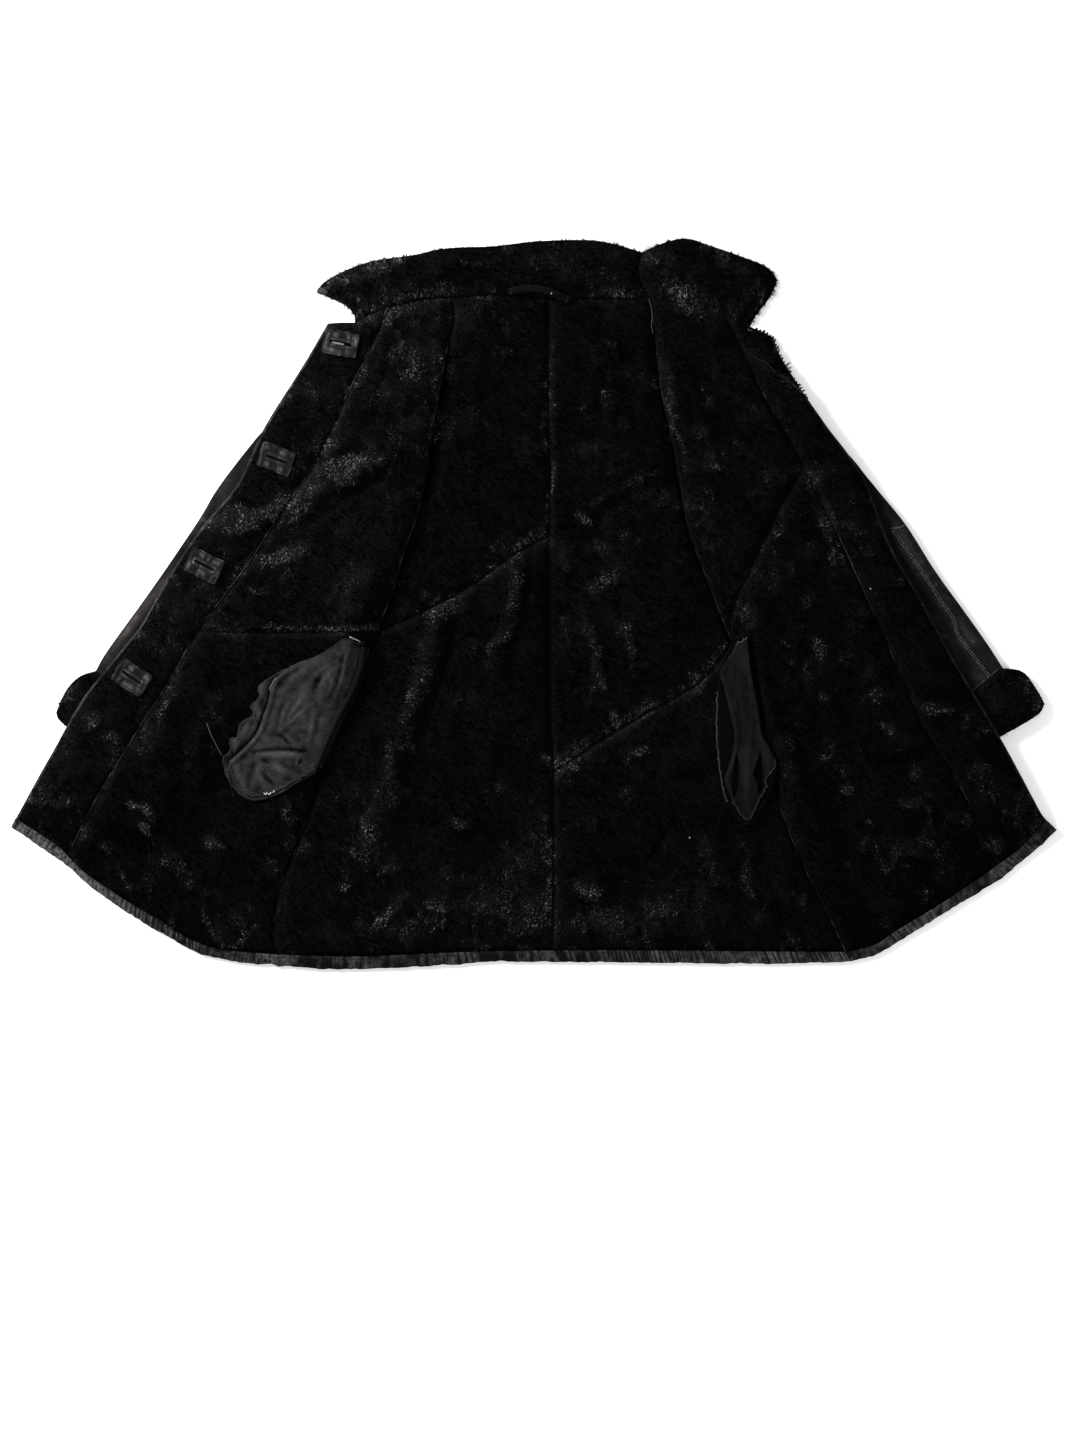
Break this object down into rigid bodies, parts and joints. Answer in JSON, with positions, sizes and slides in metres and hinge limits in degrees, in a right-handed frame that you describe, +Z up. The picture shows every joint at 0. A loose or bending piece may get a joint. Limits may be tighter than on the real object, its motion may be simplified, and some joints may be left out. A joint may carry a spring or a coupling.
{
  "type": "sheepskin coat",
  "caption": "Woman's black sheepskin coat, laid open on its back with the fur side up, both fronts spread over the sleeves.",
  "frame": {"origin": "middle of the coat's outline, on the surface it rests on", "axes": "+Z up from the surface, +Y from the hem towards the collar, +X towards the wearer's left front"},
  "size_m": [1.2044, 0.8424, 0.0382],
  "materials": {
    "shearling": "deep soft pile",
    "collar_fur": "deep curly pile",
    "hide": "soft sheen",
    "hem_leather": "gathered, soft sheen",
    "pocket_cloth": "matt, crumpled",
    "patch_leather": "matt",
    "button_plastic": "polished"
  },
  "bodies": {
    "root": {"back_left_lower": "shearling", "back_left_upper": "shearling", "back_right_lower": "shearling", "back_right_upper": "shearling", "button_1": "button_plastic", "button_2": "button_plastic", "button_3": "button_plastic", "button_4": "button_plastic", "buttonhole_patch_1": "patch_leather", "buttonhole_patch_2": "patch_leather", "buttonhole_patch_3": "patch_leather", "buttonhole_patch_4": "patch_leather", "collar_left": "collar_fur", "collar_right": "collar_fur", "cuff_left_over": "shearling", "cuff_left_under": "shearling", "cuff_right_over": "shearling", "cuff_right_under": "shearling", "front_left_edge": "shearling", "front_right_edge": "shearling", "hanger_loop": "hem_leather", "hem_binding_back": "hem_leather", "hem_binding_left_front": "hem_leather", "hem_binding_right_front": "hem_leather", "pocket_bag_left_over": "pocket_cloth", "pocket_bag_left_under": "pocket_cloth", "pocket_bag_right_over": "pocket_cloth", "pocket_bag_right_under": "pocket_cloth", "pocket_facing_right": "hide", "side_front_left_lower": "shearling", "side_front_left_upper": "shearling", "side_front_right_lower": "shearling", "side_front_right_upper": "shearling", "sleeve_left_over": "hide", "sleeve_left_under": "hide", "sleeve_right_over": "hide", "sleeve_right_under": "hide"}
  },
  "joints": []
}
